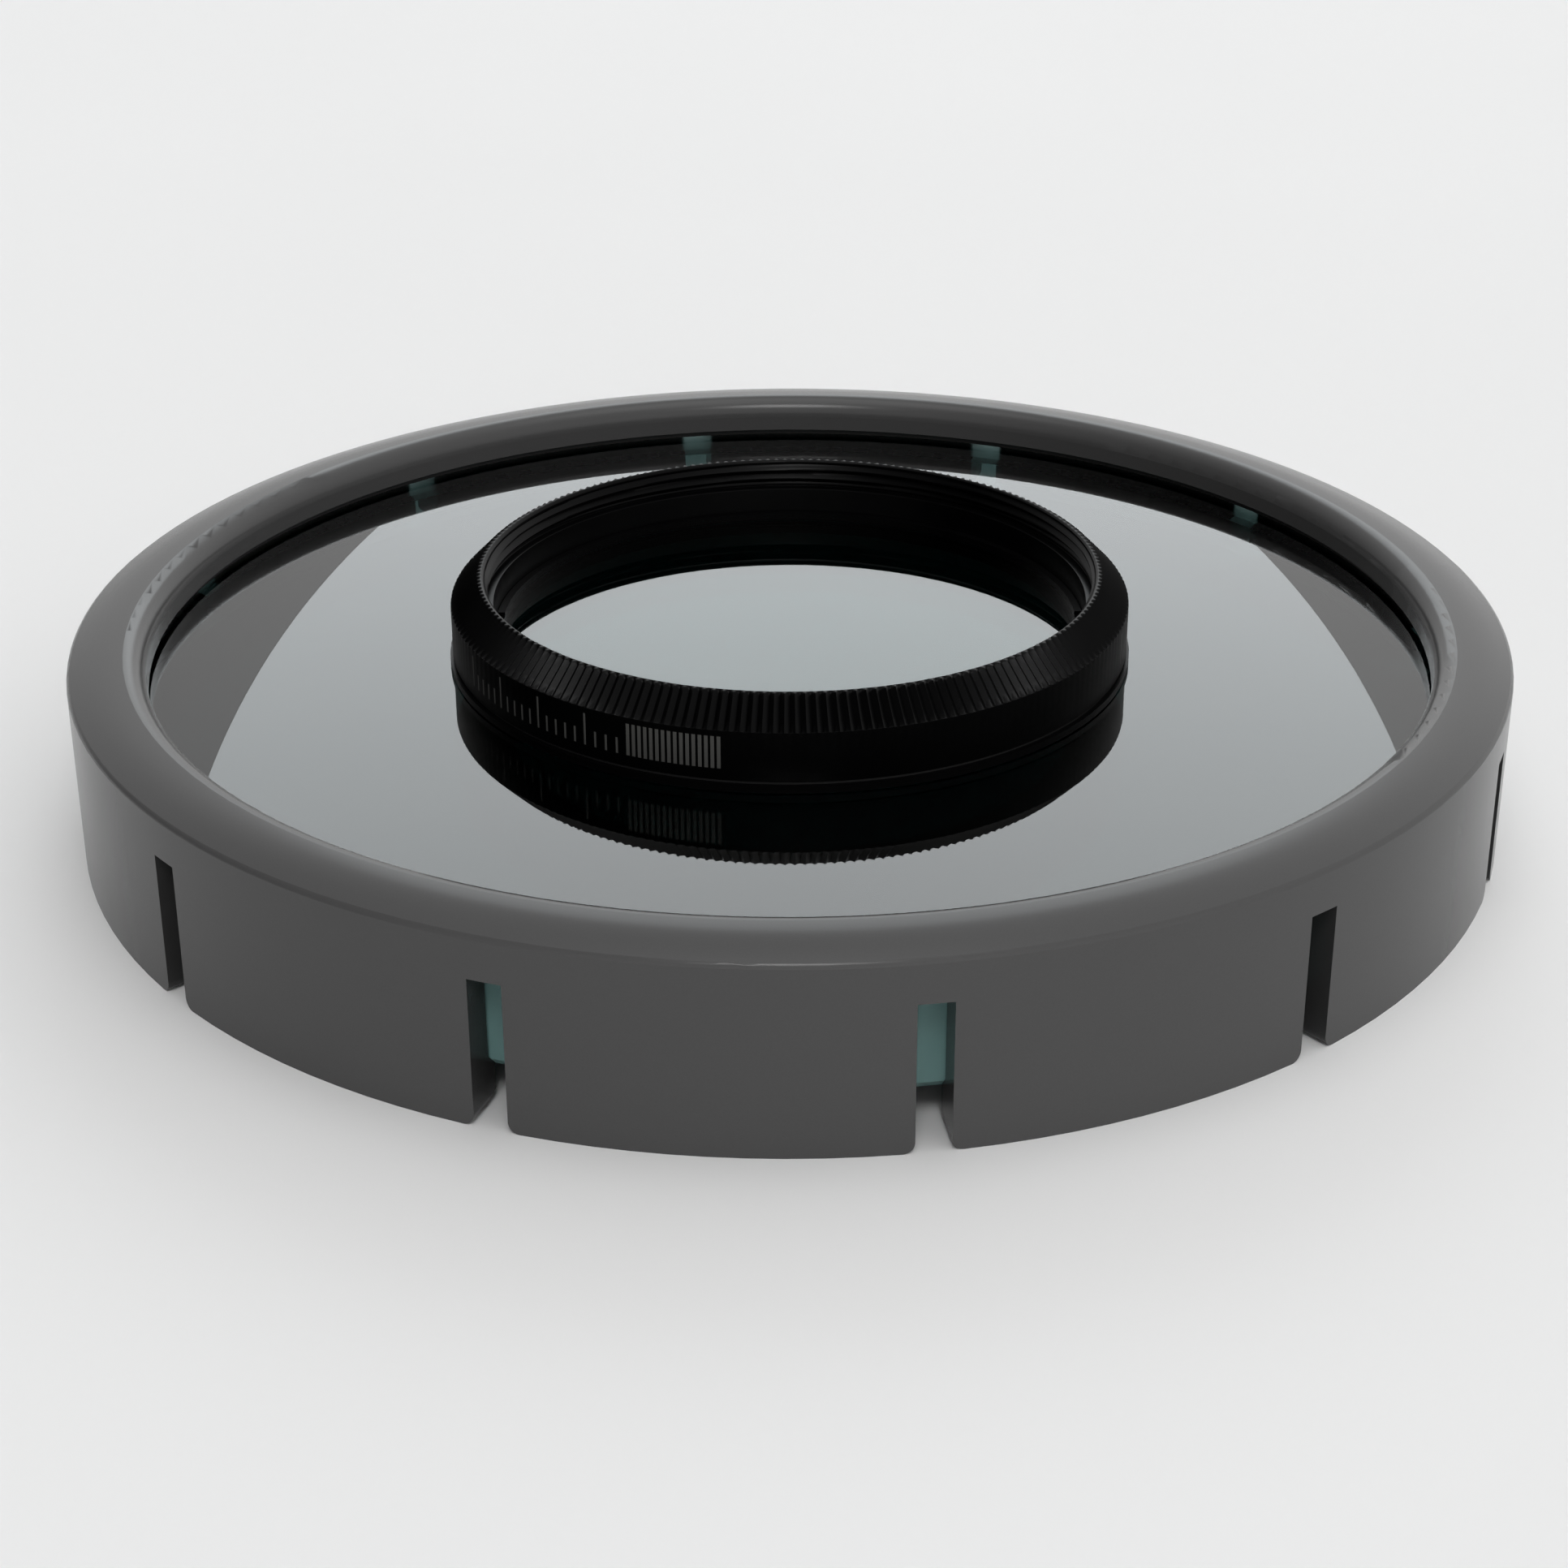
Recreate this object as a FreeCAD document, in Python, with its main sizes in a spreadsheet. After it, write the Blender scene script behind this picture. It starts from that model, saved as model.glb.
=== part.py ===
"""Glass window in a slotted snap ring, with a screw-on filter cell standing on the glass.

Frame: millimetres, +Z up, origin at the centre of the snap ring on the plane of its feet.
Every round piece is a profile in its own XZ plane turned about Z.
"""
import FreeCAD, Part

import math
import os

import Sketcher

# name: (value in millimetres or degrees, what it is)
SIZES = {
    "disc_radius": (50.8, "glass disc, radius"),
    "disc_thickness": (8.5, "glass disc, thickness"),
    "disc_lower_bevel": (0.7, "45 degree bevel on the disc's lower edge, which sits on the barbs"),
    "disc_upper_bevel": (0.4, "45 degree bevel on the disc's upper edge"),
    "disc_gap": (0.3, "gap between the disc's edge and the ring's wall"),
    "wall": (2.4, "ring wall, thickness"),
    "barb_height": (2.7, "height of the disc's underside above the feet"),
    "barb_reach": (0.9, "how far the barbs stand in from the wall"),
    "barb_tip_start": (0.95, "height at which the lead-in ends and the barb's tip begins"),
    "foot_width": (0.6, "flat width of each finger's foot"),
    "lip_overlap": (3.0, "how far the lip reaches in over the disc"),
    "lip_thickness": (2.8, "lip, from its underside to its crest"),
    "lip_round": (1.6, "radius of the lip's inner round"),
    "crown_drop": (0.9, "fall of the crown from its crest to the outer edge"),
    "outer_round": (0.4, "radius of the ring's outer top edge"),
    "gasket_thickness": (0.5, "lip gasket, thickness"),
    "gasket_setback": (0.4, "how far the lip gasket stays back from the lip's inner edge"),
    "slot_count": (12, "slots round the ring, evenly spaced"),
    "slot_width": (2.35, "slot, width"),
    "slot_margin": (0.6, "height of solid wall between the slot's end and the disc's top"),
    "slot_corner": (0.8, "radius of the finger's lower corners"),
    "slot_phase": (9.5, "direction of the first slot from +X, degrees"),
    "cell_radius": (25.4, "filter cell, outer radius"),
    "cell_height": (5.8, "filter cell, height of its own body"),
    "cell_bevel": (2.0, "45 degree bevel on the cell's top edge, which carries the knurl"),
    "front_wall": (2.8, "cell wall, thickness at the front thread"),
    "front_thread_length": (2.2, "front thread, length"),
    "filter_relief": (0.4, "how much the bore under the front thread is smaller than it"),
    "bond_thickness": (0.1, "adhesive film, thickness"),
    "bond_setback": (0.4, "how far the adhesive stays inside the flange's edges"),
    "flange_thickness": (0.5, "base ring flange, thickness"),
    "flange_reach": (0.2, "how far the base ring's flange stands out from the cell"),
    "washer_thickness": (0.2, "washer, thickness"),
    "washer_setback": (0.2, "how far the washer stays inside the cell's edge"),
    "socket_wall": (1.4, "cell wall, thickness round the base ring's spigot"),
    "spigot_engaged": (1.35, "length of the spigot inside the cell"),
    "spigot_wall": (0.7, "base ring spigot, wall thickness"),
    "thread_clearance": (0.05, "radial clearance of a screw thread"),
    "spigot_end_gap": (0.1, "gap between the spigot's end and the top of its groove"),
    "sleeve_lift": (0.1, "gap between the cell's inner sleeve and the window"),
    "shelf_thickness": (0.6, "filter shelf, thickness"),
    "shelf_reach": (0.9, "how far the filter shelf stands in from the bore above it"),
    "seat_thickness": (0.15, "seat gasket, thickness"),
    "filter_thickness": (1.1, "filter glass, thickness"),
    "filter_gap": (0.1, "gap between the filter glass's edge and the cell"),
    "filter_bevel": (0.15, "45 degree bevel on the filter glass's edges"),
    "retainer_wall": (0.55, "retaining ring, wall thickness"),
    "retainer_height": (0.5, "retaining ring, height"),
    "notch_width": (1.6, "spanner notch, width"),
    "notch_depth": (0.3, "spanner notch, depth"),
}

# Heights and radii that follow from the sizes above, lowest first.
FACES = {
    "wall_inside": "disc_radius + disc_gap",
    "ring_radius": "wall_inside + wall",
    "barb_tip": "wall_inside - barb_reach",
    "disc_top": "barb_height + disc_thickness",
    "lip_underside": "disc_top + gasket_thickness",
    "ring_top": "lip_underside + lip_thickness",
    "lip_radius": "disc_radius - lip_overlap",
    "crest_radius": "lip_radius + lip_round",
    "crown_reach": "ring_radius - crest_radius",
    "slot_top": "disc_top - slot_margin",
    "flange_radius": "cell_radius + flange_reach",
    "flange_bottom": "disc_top + bond_thickness",
    "flange_top": "flange_bottom + flange_thickness",
    "cell_bottom": "flange_top + washer_thickness",
    "cell_top": "cell_bottom + cell_height",
    "spigot_top": "cell_bottom + spigot_engaged",
    "socket_radius": "cell_radius - socket_wall",
    "spigot_radius": "socket_radius - thread_clearance",
    "spigot_bore": "spigot_radius - spigot_wall",
    "socket_top": "spigot_top + spigot_end_gap",
    "sleeve_radius": "spigot_bore - thread_clearance",
    "sleeve_bottom": "disc_top + sleeve_lift",
    "shelf_top": "sleeve_bottom + shelf_thickness",
    "filter_bottom": "shelf_top + seat_thickness",
    "filter_top": "filter_bottom + filter_thickness",
    "retainer_top": "filter_top + retainer_height",
    "front_thread_bottom": "cell_top - front_thread_length",
    "front_thread_radius": "cell_radius - front_wall",
    "filter_bore": "front_thread_radius - filter_relief",
    "filter_radius": "filter_bore - filter_gap",
    "shelf_radius": "filter_bore - shelf_reach",
    "retainer_radius": "filter_bore - thread_clearance",
    "retainer_bore": "retainer_radius - retainer_wall",
}

SHEET = "Sizes"
ORIGIN = (-1, 1)
ACROSS_AXIS = -1
UP_AXIS = -2

doc = FreeCAD.newDocument("WindowedFilterCell")


def make_sheet():
    """Put the driving sizes and the faces that follow from them in one spreadsheet."""
    sheet = doc.addObject("Spreadsheet::Sheet", SHEET)
    row = 1
    for alias, (size, note) in SIZES.items():
        sheet.set(f"A{row}", note)
        sheet.set(f"B{row}", str(size))
        sheet.setAlias(f"B{row}", alias)
        row += 1
    for alias, formula in FACES.items():
        sheet.set(f"A{row}", alias.replace("_", " "))
        sheet.set(f"B{row}", "=" + formula)
        sheet.setAlias(f"B{row}", alias)
        row += 1
    doc.recompute()
    return sheet


sheet = make_sheet()


def in_sheet(formula):
    """Write a formula of aliases, such as "wall + disc_gap", as an expression on the sheet."""
    words = []
    for word in formula.replace("(", " ( ").replace(")", " ) ").split():
        known = word in SIZES or word in FACES
        words.append(f"{SHEET}.{word}" if known else word)
    return " ".join(words)


def size_of(formula):
    """The value of a formula of aliases."""
    return float(sheet.evalExpression(in_sheet(formula)))


def origin_plane(body, role):
    """One of a body's own origin planes."""
    for feature in body.Origin.OriginFeatures:
        if feature.Role == role:
            return feature
    raise ValueError(f"{body.Name} has no {role}")


def new_body(name):
    """A sub-part: a body whose Label names its file."""
    body = doc.addObject("PartDesign::Body", name)
    body.Label = name
    return body


def hold(sketch, kind, axis, geometry, end, formula):
    """Tie one coordinate of a point to a formula, counted from the sketch's origin."""
    distance = size_of(formula)
    if abs(distance) < 1e-9:
        sketch.addConstraint(Sketcher.Constraint("PointOnObject", geometry, end, axis))
        return
    if distance > 0:
        ends = (*ORIGIN, geometry, end)
        expression = in_sheet(formula)
    else:
        ends = (geometry, end, *ORIGIN)
        expression = f"-( {in_sheet(formula)} )"
    index = sketch.addConstraint(Sketcher.Constraint(kind, *ends, abs(distance)))
    sketch.setExpression(f"Constraints[{index}]", expression)


def draw(body, name, plane, outline):
    """A closed sketch on one of the body's planes.

    outline lists the corners in order. Each is (across, up) as formulas, or (across, up, radius, turn)
    where the edge that leaves the corner is an arc: turn is 1 anticlockwise and -1 clockwise.
    """
    sketch = body.newObject("Sketcher::SketchObject", name)
    sketch.AttachmentSupport = [(origin_plane(body, plane), "")]
    sketch.MapMode = "FlatFace"
    spots = [FreeCAD.Vector(size_of(corner[0]), size_of(corner[1]), 0) for corner in outline]
    starts = []
    for number, corner in enumerate(outline):
        here = spots[number]
        there = spots[(number + 1) % len(spots)]
        if len(corner) == 2:
            edge = Part.LineSegment(here, there)
            starts.append((sketch.addGeometry(edge, False), 1, 2))
            continue
        radius = size_of(corner[2])
        half = (there - here) * 0.5
        side = FreeCAD.Vector(-half.y, half.x, 0).normalize() * corner[3]
        centre = here + half + side * math.sqrt(max(radius**2 - half.Length**2, 0))
        middle = centre + (here + half - centre).normalize() * radius
        edge = Part.Arc(here, middle, there)
        # An arc's own ends run anticlockwise.
        ends = (1, 2) if corner[3] > 0 else (2, 1)
        starts.append((sketch.addGeometry(edge, False), *ends))
        bend = sketch.addConstraint(Sketcher.Constraint("Radius", starts[-1][0], radius))
        sketch.setExpression(f"Constraints[{bend}]", in_sheet(corner[2]))
    for number, (edge, start, end) in enumerate(starts):
        after, after_start, _ = starts[(number + 1) % len(starts)]
        sketch.addConstraint(Sketcher.Constraint("Coincident", edge, end, after, after_start))
        hold(sketch, "DistanceX", UP_AXIS, edge, start, outline[number][0])
        hold(sketch, "DistanceY", ACROSS_AXIS, edge, start, outline[number][1])
    doc.recompute()
    if not sketch.FullyConstrained:
        raise ValueError(f"{name} can still move")
    return sketch


def turned(name, outline):
    """A round sub-part: an outline of (radius, height) turned once about Z."""
    body = new_body(name)
    sketch = draw(body, f"{name}_outline", "XZ_Plane", outline)
    turn = body.newObject("PartDesign::Revolution", f"{name}_turn")
    turn.Profile = sketch
    turn.ReferenceAxis = (sketch, ["V_Axis"])
    turn.Angle = 360.0
    body.Tip = turn
    doc.recompute()
    return body


def cut_all_round(body, name, outline, reach, count):
    """Cut an outline of (sideways, height) out along +X as far as reach, repeated count times about Z."""
    before = body.Shape.Volume
    sketch = draw(body, f"{name}_outline", "YZ_Plane", outline)
    pocket = body.newObject("PartDesign::Pocket", name)
    pocket.Profile = sketch
    pocket.Type = "Length"
    pocket.Reversed = True
    pocket.setExpression("Length", in_sheet(reach))
    doc.recompute()
    body.Tip = pocket
    pattern = body.newObject("PartDesign::PolarPattern", f"{name}_pattern")
    pattern.Originals = [pocket]
    pattern.Axis = (sketch, ["V_Axis"])
    pattern.Angle = 360.0
    if isinstance(count, str):
        pattern.setExpression("Occurrences", in_sheet(count))
    else:
        pattern.Occurrences = count
    body.Tip = pattern
    doc.recompute()
    if body.Shape.Volume > before - 1e-3:
        raise ValueError(f"{name} cuts nothing")


def box_outline(inner, outer, bottom, top):
    """A plain rectangle between two radii and two heights."""
    return [(inner, bottom), (outer, bottom), (outer, top), (inner, top)]


def make_snap_ring():
    """Retaining ring: crowned lip, slotted wall, and a barb with a lead-in at the foot of every finger."""
    # The crown meets the lip's inner round level, at the crest, and falls by crown_drop at the wall.
    crown_radius = "( crown_reach ^ 2 + crown_drop ^ 2 ) / ( 2 * crown_drop )"
    ledge = "barb_height + disc_lower_bevel - disc_radius"
    outline = [
        ("ring_radius - foot_width", "0"),
        ("ring_radius", "0"),
        ("ring_radius", "ring_top - crown_drop", crown_radius, 1),
        ("crest_radius", "ring_top", "lip_round", 1),
        ("lip_radius", "ring_top - lip_round"),
        ("lip_radius", "lip_underside"),
        ("wall_inside", "lip_underside"),
        ("wall_inside", f"wall_inside + {ledge}"),
        ("barb_tip", f"barb_tip + {ledge}"),
        ("barb_tip", "barb_tip_start"),
    ]
    body = turned("snap_ring", outline)

    turn = body.Tip
    radius = size_of("ring_radius")
    height = size_of("ring_top - crown_drop")
    names = []
    for number, edge in enumerate(turn.Shape.Edges, 1):
        box = edge.BoundBox
        at_height = abs(box.ZMin - height) < 1e-4 and abs(box.ZMax - height) < 1e-4
        if at_height and abs(box.XMax - radius) < 1e-3:
            names.append(f"Edge{number}")
    rim = body.newObject("PartDesign::Fillet", "outer_round")
    rim.Base = (turn, names)
    rim.setExpression("Radius", in_sheet("outer_round"))
    body.Tip = rim
    doc.recompute()

    slot_half = "slot_width / 2"
    slot = [
        (f"-( {slot_half} ) - slot_corner", "-( slot_corner )"),
        (f"{slot_half} + slot_corner", "-( slot_corner )"),
        (f"{slot_half} + slot_corner", "0", "slot_corner", -1),
        (slot_half, "slot_corner"),
        (slot_half, "slot_top"),
        (f"-( {slot_half} )", "slot_top"),
        (f"-( {slot_half} )", "slot_corner", "slot_corner", -1),
        (f"-( {slot_half} ) - slot_corner", "0"),
    ]
    cut_all_round(body, "slot", slot, "ring_radius + wall", "slot_count")
    body.setExpression("Placement.Rotation.Angle", in_sheet("slot_phase"))
    return body


def make_glass_disc():
    """Thick window. Its lower bevel sits on the barbs."""
    outline = [
        ("0", "barb_height"),
        ("disc_radius - disc_lower_bevel", "barb_height"),
        ("disc_radius", "barb_height + disc_lower_bevel"),
        ("disc_radius", "disc_top - disc_upper_bevel"),
        ("disc_radius - disc_upper_bevel", "disc_top"),
        ("0", "disc_top"),
    ]
    return turned("glass_disc", outline)


def make_lip_gasket():
    """Flat gasket between the disc and the lip."""
    inner = "lip_radius + gasket_setback"
    outer = "disc_radius - disc_upper_bevel"
    return turned("lip_gasket", box_outline(inner, outer, "disc_top", "lip_underside"))


def make_base_bond():
    """Adhesive film between the disc and the base ring."""
    inner = "spigot_bore + bond_setback"
    outer = "flange_radius - bond_setback"
    return turned("base_bond", box_outline(inner, outer, "disc_top", "flange_bottom"))


def make_base_ring():
    """Flanged ring on the glass. Its spigot stands for a male screw thread."""
    outline = [
        ("spigot_bore", "flange_bottom"),
        ("flange_radius", "flange_bottom"),
        ("flange_radius", "flange_top"),
        ("spigot_radius", "flange_top"),
        ("spigot_radius", "spigot_top"),
        ("spigot_bore", "spigot_top"),
    ]
    return turned("base_ring", outline)


def make_cell_washer():
    """Thin washer round the spigot that the cell is screwed down on."""
    inner = "socket_radius + thread_clearance"
    outer = "cell_radius - washer_setback"
    return turned("cell_washer", box_outline(inner, outer, "flange_top", "cell_bottom"))


def make_cell_body():
    """Filter cell: grooved socket below, sleeve with a shelf for the glass, threaded opening above."""
    outline = [
        ("shelf_radius", "sleeve_bottom"),
        ("sleeve_radius", "sleeve_bottom"),
        ("sleeve_radius", "socket_top"),
        ("socket_radius", "socket_top"),
        ("socket_radius", "cell_bottom"),
        ("cell_radius", "cell_bottom"),
        ("cell_radius", "cell_top - cell_bevel"),
        ("cell_radius - cell_bevel", "cell_top"),
        ("front_thread_radius", "cell_top"),
        ("front_thread_radius", "front_thread_bottom"),
        ("filter_bore", "front_thread_bottom"),
        ("filter_bore", "shelf_top"),
        ("shelf_radius", "shelf_top"),
    ]
    return turned("cell_body", outline)


def make_seat_gasket():
    """Flat gasket between the shelf and the filter glass."""
    return turned("seat_gasket", box_outline("shelf_radius", "filter_radius", "shelf_top", "filter_bottom"))


def make_filter_glass():
    """Thin filter glass with bevelled edges."""
    outline = [
        ("0", "filter_bottom"),
        ("filter_radius - filter_bevel", "filter_bottom"),
        ("filter_radius", "filter_bottom + filter_bevel"),
        ("filter_radius", "filter_top - filter_bevel"),
        ("filter_radius - filter_bevel", "filter_top"),
        ("0", "filter_top"),
    ]
    return turned("filter_glass", outline)


def make_filter_retaining_ring():
    """Ring that holds the filter glass on its shelf, with two spanner notches."""
    top = "retainer_top"
    body = turned(
        "filter_retaining_ring",
        box_outline("retainer_bore", "retainer_radius", "filter_top", top),
    )
    half = "notch_width / 2"
    notch = box_outline(f"-( {half} )", half, f"{top} - notch_depth", f"{top} + notch_depth")
    cut_all_round(body, "notch", notch, "retainer_radius + notch_depth", 2)
    return body


MAKERS = [
    make_snap_ring,
    make_glass_disc,
    make_lip_gasket,
    make_base_bond,
    make_base_ring,
    make_cell_washer,
    make_cell_body,
    make_seat_gasket,
    make_filter_glass,
    make_filter_retaining_ring,
]


def check(bodies):
    """Refuse to write anything if an object failed or a sub-part isn't one valid solid."""
    for item in doc.Objects:
        if "Invalid" in item.State or "Error" in item.State:
            raise ValueError(f"{item.Name} failed: {item.State}")
    for body in bodies:
        shape = body.Shape
        if shape.isNull() or not shape.isValid() or len(shape.Solids) != 1:
            raise ValueError(f"{body.Label} is not one valid solid")


def main():
    bodies = [maker() for maker in MAKERS]
    doc.recompute()
    check(bodies)
    os.makedirs("parts", exist_ok=True)
    for body in bodies:
        body.Shape.exportStep(f"parts/{body.Label}.step")
        box = body.Shape.optimalBoundingBox()
        print(
            f"{body.Label}: volume {body.Shape.Volume:.1f} mm3, radius {box.XMax:.2f},"
            f" height {box.ZMin:.2f} to {box.ZMax:.2f}, {len(body.Shape.Faces)} faces"
        )


main()
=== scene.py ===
# %% [markdown]
# # A glass window in a snap ring, with a knurled filter cell on it
#
# Blender opens on the finished design model: ten named pieces that already have
# their real sizes and places. This lesson gives them their looks, and models the
# one piece that needs finer detail than the design model holds, the filter cell.
# The pieces are loaded first, and their boxes give most other places in the file.

import math

import bpy
from mathutils import Matrix, Vector


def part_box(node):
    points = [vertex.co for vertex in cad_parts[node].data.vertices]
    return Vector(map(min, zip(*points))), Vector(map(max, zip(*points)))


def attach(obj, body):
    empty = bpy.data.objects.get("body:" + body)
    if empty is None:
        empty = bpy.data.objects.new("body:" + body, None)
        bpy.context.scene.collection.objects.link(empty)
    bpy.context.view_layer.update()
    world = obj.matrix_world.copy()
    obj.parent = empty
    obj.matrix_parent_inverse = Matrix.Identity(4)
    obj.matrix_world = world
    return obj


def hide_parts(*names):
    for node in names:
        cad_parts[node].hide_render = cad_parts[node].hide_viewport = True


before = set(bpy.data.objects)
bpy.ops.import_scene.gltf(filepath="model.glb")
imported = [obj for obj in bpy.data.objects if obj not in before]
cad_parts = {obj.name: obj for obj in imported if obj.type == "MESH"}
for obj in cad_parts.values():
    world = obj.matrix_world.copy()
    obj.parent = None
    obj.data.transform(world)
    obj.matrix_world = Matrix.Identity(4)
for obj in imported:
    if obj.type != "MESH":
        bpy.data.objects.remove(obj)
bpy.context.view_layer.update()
MM = 0.001
ring_low, ring_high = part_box("snap_ring")
ring_radius = (ring_high.x - ring_low.x) / 2
print(f"ring radius {ring_radius / MM:.2f} mm, top {ring_high.z / MM:.2f} mm")

# %% [markdown]
# ## The camera
#
# A camera can be aimed with a constraint, or placed by hand. Here it is worked out
# from the ring's radius, so that the picture keeps its framing if the object is
# ever made larger. It looks down at the ring from the front with a long lens,
# which keeps the far side of the ring almost as wide as the near side.

# %% Camera
CAMERA_BACK = 3.9
CAMERA_UP = 1.9004
LOOK_DOWN = math.radians(26.09)
TURN_LEFT = 0.0022
ROLL = -0.0031

lens = bpy.data.cameras.new("camera")
lens.lens = 68.67
lens.sensor_width = 36.0
lens.clip_start = 0.01
lens.clip_end = 20.0
camera = bpy.data.objects.new("camera", lens)
bpy.context.scene.collection.objects.link(camera)
aim = Matrix.Rotation(TURN_LEFT, 3, "Z") @ Matrix.Rotation(math.pi / 2 - LOOK_DOWN, 3, "X")
aim = aim @ Matrix.Rotation(ROLL, 3, "Z")
camera.rotation_mode = "QUATERNION"
camera.rotation_quaternion = aim.to_quaternion()
camera.location = (0.0, -CAMERA_BACK * ring_radius, CAMERA_UP * ring_radius)
bpy.context.scene.camera = camera
print(f"camera {CAMERA_BACK * ring_radius:.3f} m back, {CAMERA_UP * ring_radius:.3f} m up")

# %% [markdown]
# ## Shader maths
#
# A material's pattern is a sum made of nodes. Written by hand that is a long list
# of nodes and links, so a small class wraps a socket and gives it Python's own
# operators: `wave * 0.5 + 0.5` adds two Math nodes. Any other node comes from one
# method that takes the node's type, its settings and its inputs.


# %% Sockets with operators
class Field:
    """A number that varies over a surface."""

    def __init__(self, shader, socket):
        self.shader = shader
        self.socket = socket

    def call(self, operation, *others):
        """Any Math operation on this field, such as PINGPONG or ABSOLUTE."""
        return self.shader.maths(operation, self, *others)

    def __add__(self, other):
        return self.call("ADD", other)

    def __sub__(self, other):
        return self.call("SUBTRACT", other)

    def __mul__(self, other):
        return self.call("MULTIPLY", other)

    def __truediv__(self, other):
        return self.call("DIVIDE", other)

    __radd__ = __add__
    __rmul__ = __mul__

    def __rsub__(self, other):
        return self.shader.maths("SUBTRACT", other, self)

    def __lt__(self, other):
        return self.call("LESS_THAN", other)

    def __gt__(self, other):
        return self.call("GREATER_THAN", other)


class Nodes:
    """A node tree that nodes are added to."""

    def __init__(self, tree):
        self.tree = tree

    def node(self, kind, settings=None, inputs=None, output=0):
        """Add a node: its settings first, then values or links for its sockets."""
        node = self.tree.nodes.new(kind)
        for name, value in (settings or {}).items():
            if name == "stops":
                self.set_stops(node.color_ramp, value)
            else:
                setattr(node, name, value)
        for name, value in (inputs or {}).items():
            self.feed(node.inputs[name], value)
        return Field(self, node.outputs[output])

    def maths(self, operation, *values):
        """A Math node on fields and plain numbers."""
        return self.node("ShaderNodeMath", {"operation": operation}, dict(enumerate(values)))

    def set_stops(self, ramp, stops):
        """Give a colour ramp its stops, as (place, colour) pairs."""
        while len(ramp.elements) < len(stops):
            ramp.elements.new(1.0)
        for element, (place, colour) in zip(ramp.elements, stops):
            element.position = place
            element.color = (*colour, 1.0)

    def feed(self, socket, value):
        """Link a field to a socket, or set the socket's own value."""
        if isinstance(value, Field):
            self.tree.links.new(value.socket, socket)
        elif isinstance(value, tuple) and len(socket.default_value) == 4:
            socket.default_value = (*value[:3], 1.0)
        else:
            socket.default_value = value


class Shader(Nodes):
    """A material and the nodes in it."""

    def __init__(self, name):
        self.material = bpy.data.materials.new(name)
        self.material.use_nodes = True
        super().__init__(self.material.node_tree)
        self.tree.nodes.clear()
        self.output = self.tree.nodes.new("ShaderNodeOutputMaterial")

    def surface(self, field):
        """End the material with this shader."""
        self.tree.links.new(field.socket, self.output.inputs["Surface"])
        return self.material


print("shader maths ready:", ", ".join(kind.__name__ for kind in (Field, Nodes, Shader)))

# %% [markdown]
# ## Finishes
#
# Every finish is worked out from where a point lies on the object, so it needs no
# unwrapping. Object coordinates are in metres here, so a noise scale of 4000 has
# grains a quarter of a millimetre across.


# %% Grain shared by the finishes
def place(shader):
    """Where a point lies on the object."""
    return shader.node("ShaderNodeTexCoord", output=3)


def part_of(nodes, vector, axis):
    """One of a vector's three numbers: axis 0 is X, 1 is Y, 2 is Z."""
    return nodes.node("ShaderNodeSeparateXYZ", inputs={0: vector}, output=axis)


def distance_from_axis(shader):
    """How far a point lies from the object's axis, in metres."""
    spot = place(shader)
    across, along = part_of(shader, spot, 0), part_of(shader, spot, 1)
    return (across * across + along * along).call("SQRT")


def grain(shader, scale, detail=3.0, roughness=0.55):
    """Soft noise from 0 to 1."""
    return shader.node("ShaderNodeTexNoise", {"noise_dimensions": "3D"}, {
        "Vector": place(shader), "Scale": scale, "Detail": detail, "Roughness": roughness,
    })


def principled(shader, values):
    """Blender's general surface, with these values in its sockets."""
    return shader.node("ShaderNodeBsdfPrincipled", inputs=values)


def bump(shader, height, strength, distance):
    """A surface direction tipped by a height that varies."""
    return shader.node("ShaderNodeBump", inputs={
        "Height": height, "Strength": strength, "Distance": distance,
    })


def give(node, material):
    """Give a design piece its finish."""
    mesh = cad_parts[node].data
    mesh.materials.clear()
    mesh.materials.append(material)
    print(f"{node}: {material.name}")

# %% [markdown]
# ## The moulded ring
#
# The ring is one plastic moulding, and its wall is cut by slots into fingers that
# spring out when the glass is pushed in. Its colour could be one flat grey, but a
# real moulding has a faint fine grain from the mould. Two noises are mixed for the
# tone, and the fine one also moves the roughness and the bump. The slots' side
# walls get painted shade, a darker tone found from the way they face: along the
# ring and not out from it. With the plain grey they came out too light. The
# darkness stands in for the shade in the narrow slots, where little light gets in.


# %% Painted shade on the slot walls
SLOT_WALL_FACING = 0.8
# How far the slots' side walls are mixed towards black: painted shade for the narrow slots.
SLOT_WALL_PAINTED_SHADE = 0.65


def slot_wall_shade_mask(shader):
    """1 on the slots' side walls, which face along the ring and get painted shade, 0 on the rest of the
    ring.
    """
    radial = shader.node("ShaderNodeVectorMath", {"operation": "NORMALIZE"}, {
        0: shader.node("ShaderNodeVectorMath", {"operation": "MULTIPLY"}, {
            0: place(shader), 1: (1.0, 1.0, 0.0),
        }),
    })
    along = shader.node("ShaderNodeVectorMath", {"operation": "CROSS_PRODUCT"}, {
        0: radial, 1: (0.0, 0.0, 1.0),
    })
    facing = shader.node("ShaderNodeVectorMath", {"operation": "DOT_PRODUCT"}, {
        0: along, 1: shader.node("ShaderNodeNewGeometry", output=1),
    }, 1)
    return facing.call("ABSOLUTE") > SLOT_WALL_FACING


print(f"slot walls are mixed {SLOT_WALL_PAINTED_SHADE:.0%} towards black")


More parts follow.
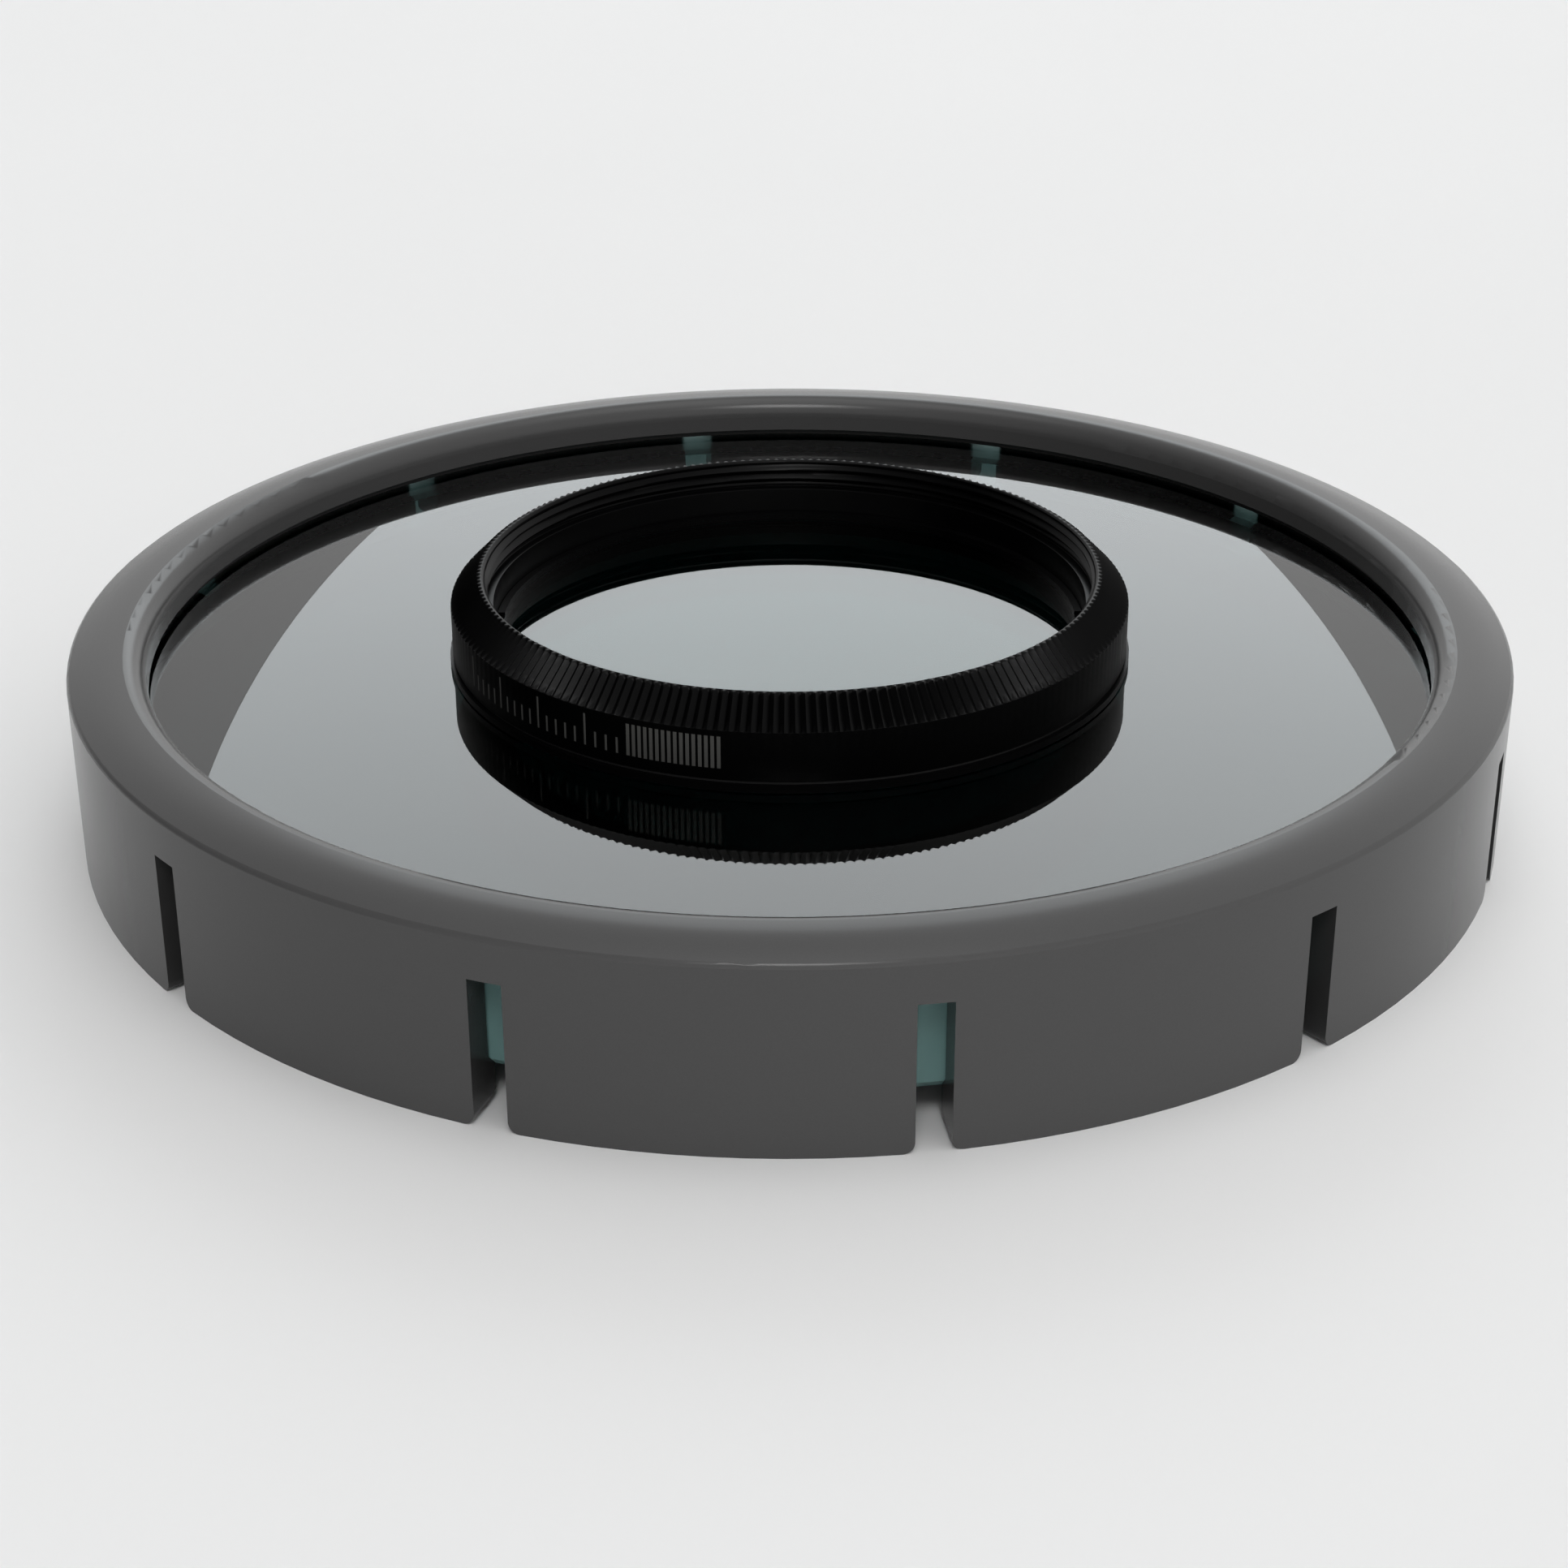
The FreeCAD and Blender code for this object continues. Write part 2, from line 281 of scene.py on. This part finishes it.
# %% Moulded dark grey
def make_ring_grey():
    """Dark grey plastic with a faint grain, and painted shade on the slots' side walls."""
    shader = Shader("moulded_grey")
    fine = grain(shader, 9000.0)
    broad = grain(shader, 25.0, 2.0)
    tone = shader.node("ShaderNodeValToRGB", {"stops": [
        (0.10, (0.064, 0.0635, 0.0635)), (0.90, (0.075, 0.0745, 0.0745)),
    ]}, {"Fac": broad * 0.3 + fine * 0.7})
    # Painted shade: the slots' side walls are mixed towards near black (0.012).
    tone = shader.node("ShaderNodeMix", {"data_type": "RGBA"}, {
        0: slot_wall_shade_mask(shader) * SLOT_WALL_PAINTED_SHADE, 6: tone, 7: (0.012, 0.012, 0.012),
    }, 2)
    return shader.surface(principled(shader, {
        "Base Color": tone,
        "Roughness": 0.20 + 0.04 * fine,
        "Metallic": 0.0,
        "Specular IOR Level": 0.22,
        "Normal": bump(shader, fine, 0.05, 0.00005),
    }))


ring_grey = make_ring_grey()
give("snap_ring", ring_grey)

# %% [markdown]
# ## The two glasses
#
# The window is a thick disc of faintly blue-green glass, polished on its faces
# and ground matt at its edge. The filter in the cell is a thin pane. Plain clear
# glass would show the floor through it. Here the glass is made to absorb
# strongly, so that the polished face shows mostly what it mirrors, and a dark
# body under it. That is a choice of looks, and it makes the glass almost black
# where nothing bright is mirrored in it. The ground edge mixes a rough surface
# with one that lets light glow through, and begins at a set radius.


# %% Rays that should pass through a clear pane
def lamp_or_bounce(shader):
    """1 for a ray towards a lamp or from a matt surface, 0 for the rest."""
    lamp = shader.node("ShaderNodeLightPath", output=1)
    bounce = shader.node("ShaderNodeLightPath", output=2)
    return lamp.call("MAXIMUM", bounce)


GLASS_IOR = 1.52
print(f"glass bends light by an index of {GLASS_IOR}")


# %% Glass
GROUND_GLOW = 0.7
GROUND_COVER = 0.95


def make_glass(name, density, ground_radius):
    """Glass with a clear face, a ground edge and a body that darkens what lies below."""
    shader = Shader(name)
    clear = principled(shader, {
        "Base Color": (1.0, 1.0, 1.0),
        "Roughness": 0.0,
        "IOR": GLASS_IOR,
        "Transmission Weight": 1.0,
    })
    mist = grain(shader, 500.0, 4.0)
    frosted = principled(shader, {
        "Base Color": shader.node("ShaderNodeValToRGB", {"stops": [
            (0.3, (0.50, 0.90, 0.87)), (0.7, (0.56, 0.98, 0.95)),
        ]}, {"Fac": mist}),
        "Roughness": 0.45 + 0.1 * mist,
        "IOR": GLASS_IOR,
    })
    glow = shader.node("ShaderNodeBsdfTranslucent", inputs={"Color": (0.90, 0.97, 0.96)})
    ground = shader.node("ShaderNodeMixShader", inputs={0: GROUND_GLOW, 1: frosted, 2: glow})
    edge = distance_from_axis(shader) > ground_radius
    glass = shader.node("ShaderNodeMixShader", inputs={
        0: edge * GROUND_COVER, 1: clear, 2: ground,
    })
    shade = shader.node("ShaderNodeBsdfTransparent", inputs={"Color": (0.02, 0.03, 0.03)})
    mixed = shader.node("ShaderNodeMixShader", inputs={
        0: lamp_or_bounce(shader), 1: glass, 2: shade,
    })
    absorb = shader.node("ShaderNodeVolumeAbsorption", inputs={
        "Color": (0.05, 0.28, 0.27), "Density": density,
    })
    shader.tree.links.new(absorb.socket, shader.output.inputs["Volume"])
    return shader.surface(mixed)


print(f"the ground edge is {GROUND_GLOW:.0%} glow")


# %% Give the glasses their finish
DISC_DENSITY = 280.0
FILTER_DENSITY = 1500.0
EDGE_BEVEL = 0.75 * MM
FILTER_BEVEL = 0.2 * MM
disc_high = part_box("glass_disc")[1]
give("glass_disc", make_glass("window_glass", DISC_DENSITY, disc_high.x - EDGE_BEVEL))
filter_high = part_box("filter_glass")[1]
give("filter_glass", make_glass("filter_glass", FILTER_DENSITY, filter_high.x - FILTER_BEVEL))

# %% [markdown]
# ## Black anodised metal, and its marks
#
# The cell and its rings are turned aluminium, anodised black. Very little light
# comes back from it, so the tone is close to zero and only the gloss shows its
# shape. Marks engraved in it are paler. They could be cut in the mesh, but
# they are much shallower than the knurl, so a mask in the material is enough. The
# marks are a plain scale: each line is found from how far a point lies round the
# cell, and every fifth line is longer.

# %% The scales on the cell's wall
SCALE_LOW = 1.6 * MM
SCALE_SHORT = 2.8 * MM
SCALE_LONG = 4.0 * MM
LONG_EVERY = 5
SURFACE = 0.2 * MM
# Each scale: its first and last line in degrees from the front, the degrees
# between its lines, and a line's width in degrees.
SCALES = ((-64.0, -28.0, 2.0, 0.4), (-26.0, -11.0, 1.0, 0.6), (73.0, 90.0, 2.0, 0.4))
RULED_STEP = 2.0
cell_low, cell_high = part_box("cell_body")
print(f"{len(SCALES)} scales on a cell {2 * cell_high.x / MM:.1f} mm across")


# %% Black metal
MARK_GREY = (0.105, 0.105, 0.10)


def make_cell_black(name, marks=None):
    """Black anodising, with a mask of pale engraved marks if the piece has any."""
    shader = Shader(name)
    fine = grain(shader, 12000.0)
    broad = grain(shader, 150.0, 2.0)
    tone = shader.node("ShaderNodeValToRGB", {"stops": [
        (0.30, (0.0006, 0.0006, 0.0007)), (0.70, (0.0014, 0.0014, 0.0015)),
    ]}, {"Fac": broad})
    if marks:
        tone = shader.node("ShaderNodeMix", {"data_type": "RGBA"}, {
            0: marks(shader) * (0.75 + 0.25 * fine), 6: tone, 7: MARK_GREY,
        }, 2)
    return shader.surface(principled(shader, {
        "Base Color": tone,
        "Roughness": 0.26 + 0.10 * broad,
        "Metallic": 0.0,
        "Specular IOR Level": 0.08,
        "Normal": bump(shader, fine, 0.05, 0.00003),
    }))


print(f"marks have a tone of {MARK_GREY[0]}")


# %% Mask of the marks
def scale_marks(shader):
    """1 on the lines of the scales engraved on the cell's wall, 0 elsewhere."""
    spot = place(shader)
    across, along = part_of(shader, spot, 0), part_of(shader, spot, 1)
    height = part_of(shader, spot, 2) - cell_low.z
    turn = across.call("ARCTAN2", along * -1.0) * (180 / math.pi)
    marks = 0.0
    for first, last, step, width in SCALES:
        count = (turn - first) / step
        line = (count - count.call("ROUND")).call("ABSOLUTE") < width / 2 / step
        fives = count / LONG_EVERY
        longer = (fives - fives.call("ROUND")).call("ABSOLUTE") < 0.5 / LONG_EVERY
        if step < RULED_STEP:
            longer = 1.0
        end = SCALE_SHORT + (SCALE_LONG - SCALE_SHORT) * longer
        inside = (turn > first - width) * (turn < last + width)
        marks = marks + line * inside * (height > SCALE_LOW) * (height < end)
    return marks * (distance_from_axis(shader) > cell_high.x - SURFACE)


cell_black = make_cell_black("black_anodised")
marked_black = make_cell_black("marked_black", scale_marks)
for node in ("base_ring", "filter_retaining_ring"):
    give(node, cell_black)

# %% [markdown]
# ## The filter cell
#
# The cell is a turned metal ring. On a lathe its section is cut once and the ring
# comes out the same all round, so the mesh is made the same way: one section,
# turned round the axis in many steps. Two details are not the same all round. The
# knurl is pressed across the sloping front edge as a row of small V grooves that
# a thumb can grip, and the thread inside the opening climbs one pitch per turn.
# Both are worked in by moving the section's points as it turns.

# %% Sizes of the knurl and the thread
KNURLS = 210
KNURL_SLOPE = math.sqrt(2)
STEPS_PER_KNURL = 6
KNURL_DEPTH = 0.26 * MM
THREAD_PITCH = 0.75 * MM
THREAD_DEPTH = 0.36 * MM
THREAD_LENGTH = 2.2 * MM
THREAD_WALL = 2.8 * MM
BEVEL = 2.0 * MM


def zigzag(turns):
    """0 at whole numbers, 1 half way between them."""
    part = turns - math.floor(turns)
    return 1.0 - abs(2.0 * part - 1.0)


print(f"{KNURLS} knurl grooves {KNURL_DEPTH / MM:.2f} mm deep")
print(f"thread pitch {THREAD_PITCH / MM:.2f} mm")


# %% The cell's section
def cell_section():
    """The cell's section as (radius, height, knurl, thread), both weights from 0 to 1."""
    outer, top, low = cell_high.x, cell_high.z, cell_low.z
    thread = outer - THREAD_WALL
    bore = thread - 0.4 * MM
    foot = low + 0.7 * MM
    groove = low + 2.15 * MM
    section = [
        (bore - 0.9 * MM, low, 0, 0), (bore + 1.0 * MM, low, 0, 0), (bore + 1.0 * MM, groove, 0, 0),
        (outer - 1.4 * MM, groove, 0, 0), (outer - 1.4 * MM, foot, 0, 0), (outer - 0.12 * MM, foot, 0, 0),
        (outer - 0.035 * MM, foot + 0.035 * MM, 0, 0), (outer, foot + 0.12 * MM, 0, 0),
        (outer, top - BEVEL - 0.30 * MM, 0, 0), (outer, top - BEVEL - 0.05 * MM, 0.2, 0),
        (outer - 0.06 * MM, top - BEVEL + 0.06 * MM, 1, 0),
    ]
    for part in (0.25, 0.5, 0.75):
        section.append((outer - BEVEL * part, top - BEVEL * (1 - part), 1, 0))
    section += [
        (outer - BEVEL + 0.06 * MM, top - 0.06 * MM, 1, 0), (outer - BEVEL - 0.05 * MM, top, 0.75, 0),
        (thread + 0.50 * MM, top, 0, 0), (thread + 0.40 * MM, top - 0.03 * MM, 0, 0),
    ]
    steps = 26
    for step in range(steps + 1):
        part = step / steps
        ends = min(1.0, part * 6, (1 - part) * 6)
        height = top - 0.12 * MM - part * (THREAD_LENGTH - 0.14 * MM)
        section.append((thread + (1 - ends) * 0.30 * MM, height, 0, ends))
    foot_of_thread = top - THREAD_LENGTH
    section += [
        (thread + 0.28 * MM, foot_of_thread, 0, 0), (bore + 0.08 * MM, foot_of_thread, 0, 0),
        (bore + 0.02 * MM, foot_of_thread - 0.03 * MM, 0, 0), (bore, foot_of_thread - 0.10 * MM, 0, 0),
        (bore, low + 0.6 * MM, 0, 0), (bore - 0.9 * MM, low + 0.6 * MM, 0, 0),
    ]
    return section


print(f"{len(cell_section())} points in the section")


# %% Turn the section into the cell
def make_cell():
    """The cell's mesh: the section turned round the axis, with knurl and thread."""
    section = cell_section()
    steps = KNURLS * STEPS_PER_KNURL
    points = []
    for step in range(steps):
        turn = step / steps
        sink = KNURL_DEPTH * zigzag(turn * KNURLS) / KNURL_SLOPE
        across, along = math.cos(2 * math.pi * turn), math.sin(2 * math.pi * turn)
        for radius, height, knurl, thread in section:
            ridge = thread * THREAD_DEPTH * zigzag(height / THREAD_PITCH + turn)
            far = radius - sink * knurl + ridge
            points.append((far * across, far * along, height - sink * knurl))
    count = len(section)
    faces = []
    for step in range(steps):
        here, there = step * count, (step + 1) % steps * count
        for k in range(count):
            after = (k + 1) % count
            faces.append((here + k, there + k, there + after, here + after))
    mesh = bpy.data.meshes.new("cell_detail")
    mesh.from_pydata(points, [], faces)
    mesh.shade_smooth()
    mesh.set_sharp_from_angle(angle=math.radians(32))
    mesh.materials.append(marked_black)
    cell = bpy.data.objects.new("cell_detail", mesh)
    bpy.context.scene.collection.objects.link(cell)
    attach(cell, "cell")
    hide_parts("cell_body")
    apart = 2 * math.pi * cell_high.x / KNURLS / MM
    print(f"{len(points)} points, {KNURLS} grooves {apart:.2f} mm apart")


make_cell()

# %% [markdown]
# ## Gaskets, washer and adhesive
#
# The last four pieces are thin and mostly hidden: two rubber gaskets, a plastic
# washer that the cell is screwed down on, and the film of adhesive under the base
# ring. One function makes all three blacks. They differ in tone and roughness,
# with the rubber the most matt and the cured adhesive the smoothest.


# %% Soft blacks
def make_soft_black(name, colour, roughness):
    """Matt black with a fine grain, 1.4 times lighter on its high points."""
    shader = Shader(name)
    fine = grain(shader, 6000.0)
    tone = shader.node("ShaderNodeValToRGB", {"stops": [
        (0.3, colour), (0.7, tuple(part * 1.4 for part in colour)),
    ]}, {"Fac": fine})
    return shader.surface(principled(shader, {
        "Base Color": tone,
        "Roughness": roughness + 0.1 * fine,
        "Normal": bump(shader, fine, 0.1, 0.00004),
    }))


gasket_black = make_soft_black("gasket_rubber", (0.010, 0.011, 0.011), 0.7)
washer_black = make_soft_black("washer_plastic", (0.012, 0.012, 0.012), 0.5)
bond_black = make_soft_black("cured_adhesive", (0.014, 0.013, 0.013), 0.4)
give("lip_gasket", gasket_black)
give("seat_gasket", gasket_black)
give("cell_washer", washer_black)
give("base_bond", bond_black)

# %% [markdown]
# ## The floor
#
# The object stands on a plain pale table.


# %% Floor
FLOOR_REACH = 40


def make_floor():
    """A pale plane, many times wider than the ring."""
    shader = Shader("pale_floor")
    broad = grain(shader, 3.0)
    tone = shader.node("ShaderNodeValToRGB", {"stops": [
        (0.3, (0.80, 0.80, 0.80)), (0.7, (0.83, 0.83, 0.83)),
    ]}, {"Fac": broad})
    material = shader.surface(principled(shader, {"Base Color": tone, "Roughness": 0.8}))
    mesh = bpy.data.meshes.new("floor")
    size = FLOOR_REACH * ring_radius
    corners = [(-size, -size, 0), (size, -size, 0), (size, size, 0), (-size, size, 0)]
    mesh.from_pydata(corners, [], [(0, 1, 2, 3)])
    mesh.materials.append(material)
    floor = bpy.data.objects.new("floor", mesh)
    bpy.context.scene.collection.objects.link(floor)
    print(f"floor {2 * size:.2f} m across")


make_floor()

# %% [markdown]
# ## The light
#
# Polished glass shows what is round it, so the room matters as much as the lamp.
# A round lamp stands above and behind the object, and its mirror image is the
# bright zone on the glass. The world is the room: a colour ramp sets how bright
# it is at each height, and smaller terms make it brighter at the back and right,
# dimmer at the sides, and add a small bright patch high in front. These amounts
# were found by trial. Where the room is seen
# directly, past the floor's edge, it has one plain pale value, so that it makes a
# quiet backdrop from every side and the lighting stays the same.


# %% A soft lamp
def add_lamp(name, spot, aim_at, width, watts, shape="SQUARE", colour=(1.0, 1.0, 1.0)):
    """A soft lamp that faces a point."""
    lamp = bpy.data.lights.new(name, "AREA")
    lamp.shape = shape
    lamp.size = width
    lamp.energy = watts
    lamp.color = colour
    holder = bpy.data.objects.new(name, lamp)
    holder.location = spot
    holder.rotation_mode = "QUATERNION"
    holder.rotation_quaternion = (Vector(spot) - Vector(aim_at)).to_track_quat("Z", "Y")
    bpy.context.scene.collection.objects.link(holder)
    print(f"lamp {name}: {width} m across, {watts} W, {Vector(spot).length:.2f} m away")


add_lamp("back", (0.016, 2.387, 1.423), (0, 0, 0), 1.28, 7.7, "DISK", (0.90, 0.97, 1.0))


# %% The room
BACKDROP = 0.83


def make_world():
    """A room that is brighter overhead, at the back and low in front than at the sides."""
    world = bpy.data.worlds.new("soft_room")
    world.use_nodes = True
    tree = world.node_tree
    room = Nodes(tree)
    towards = room.node("ShaderNodeTexCoord", output=0)
    right, back, up = (part_of(room, towards, axis) for axis in range(3))
    overhead = room.node("ShaderNodeValToRGB", {"stops": [
        (0.00, (0.29, 0.29, 0.29)), (0.55, (0.29, 0.29, 0.29)), (0.70, (0.20, 0.20, 0.20)),
        (0.90, (0.20, 0.20, 0.20)), (0.96, (0.66, 0.66, 0.66)), (1.00, (0.70, 0.70, 0.70)),
    ]}, {"Fac": up})
    front = room.node("ShaderNodeMapRange", {"interpolation_type": "SMOOTHSTEP"}, {
        "Value": 0.8 * up - 0.6 * back,
        "From Min": 0.984, "From Max": 0.994, "To Min": 0.0, "To Max": 11.0,
    })
    low_front = (-1.0 * back).call("MAXIMUM", 0.0)
    low_front = low_front * low_front * (1.0 - up)
    sides = right * right
    strength = 2.9 * overhead + 0.45 * right + 0.28 * back
    strength = strength + 0.7 * low_front - 0.55 * sides + front
    seen = room.node("ShaderNodeLightPath", output=0)
    strength = strength * (1.0 - seen) + BACKDROP * seen
    sky = tree.nodes["Background"]
    sky.inputs["Color"].default_value = (1.0, 1.0, 1.0, 1.0)
    tree.links.new(strength.socket, sky.inputs["Strength"])
    bpy.context.scene.world = world
    print(f"world {world.name}, backdrop {BACKDROP}")


make_world()
bpy.context.scene.view_settings.view_transform = "Standard"
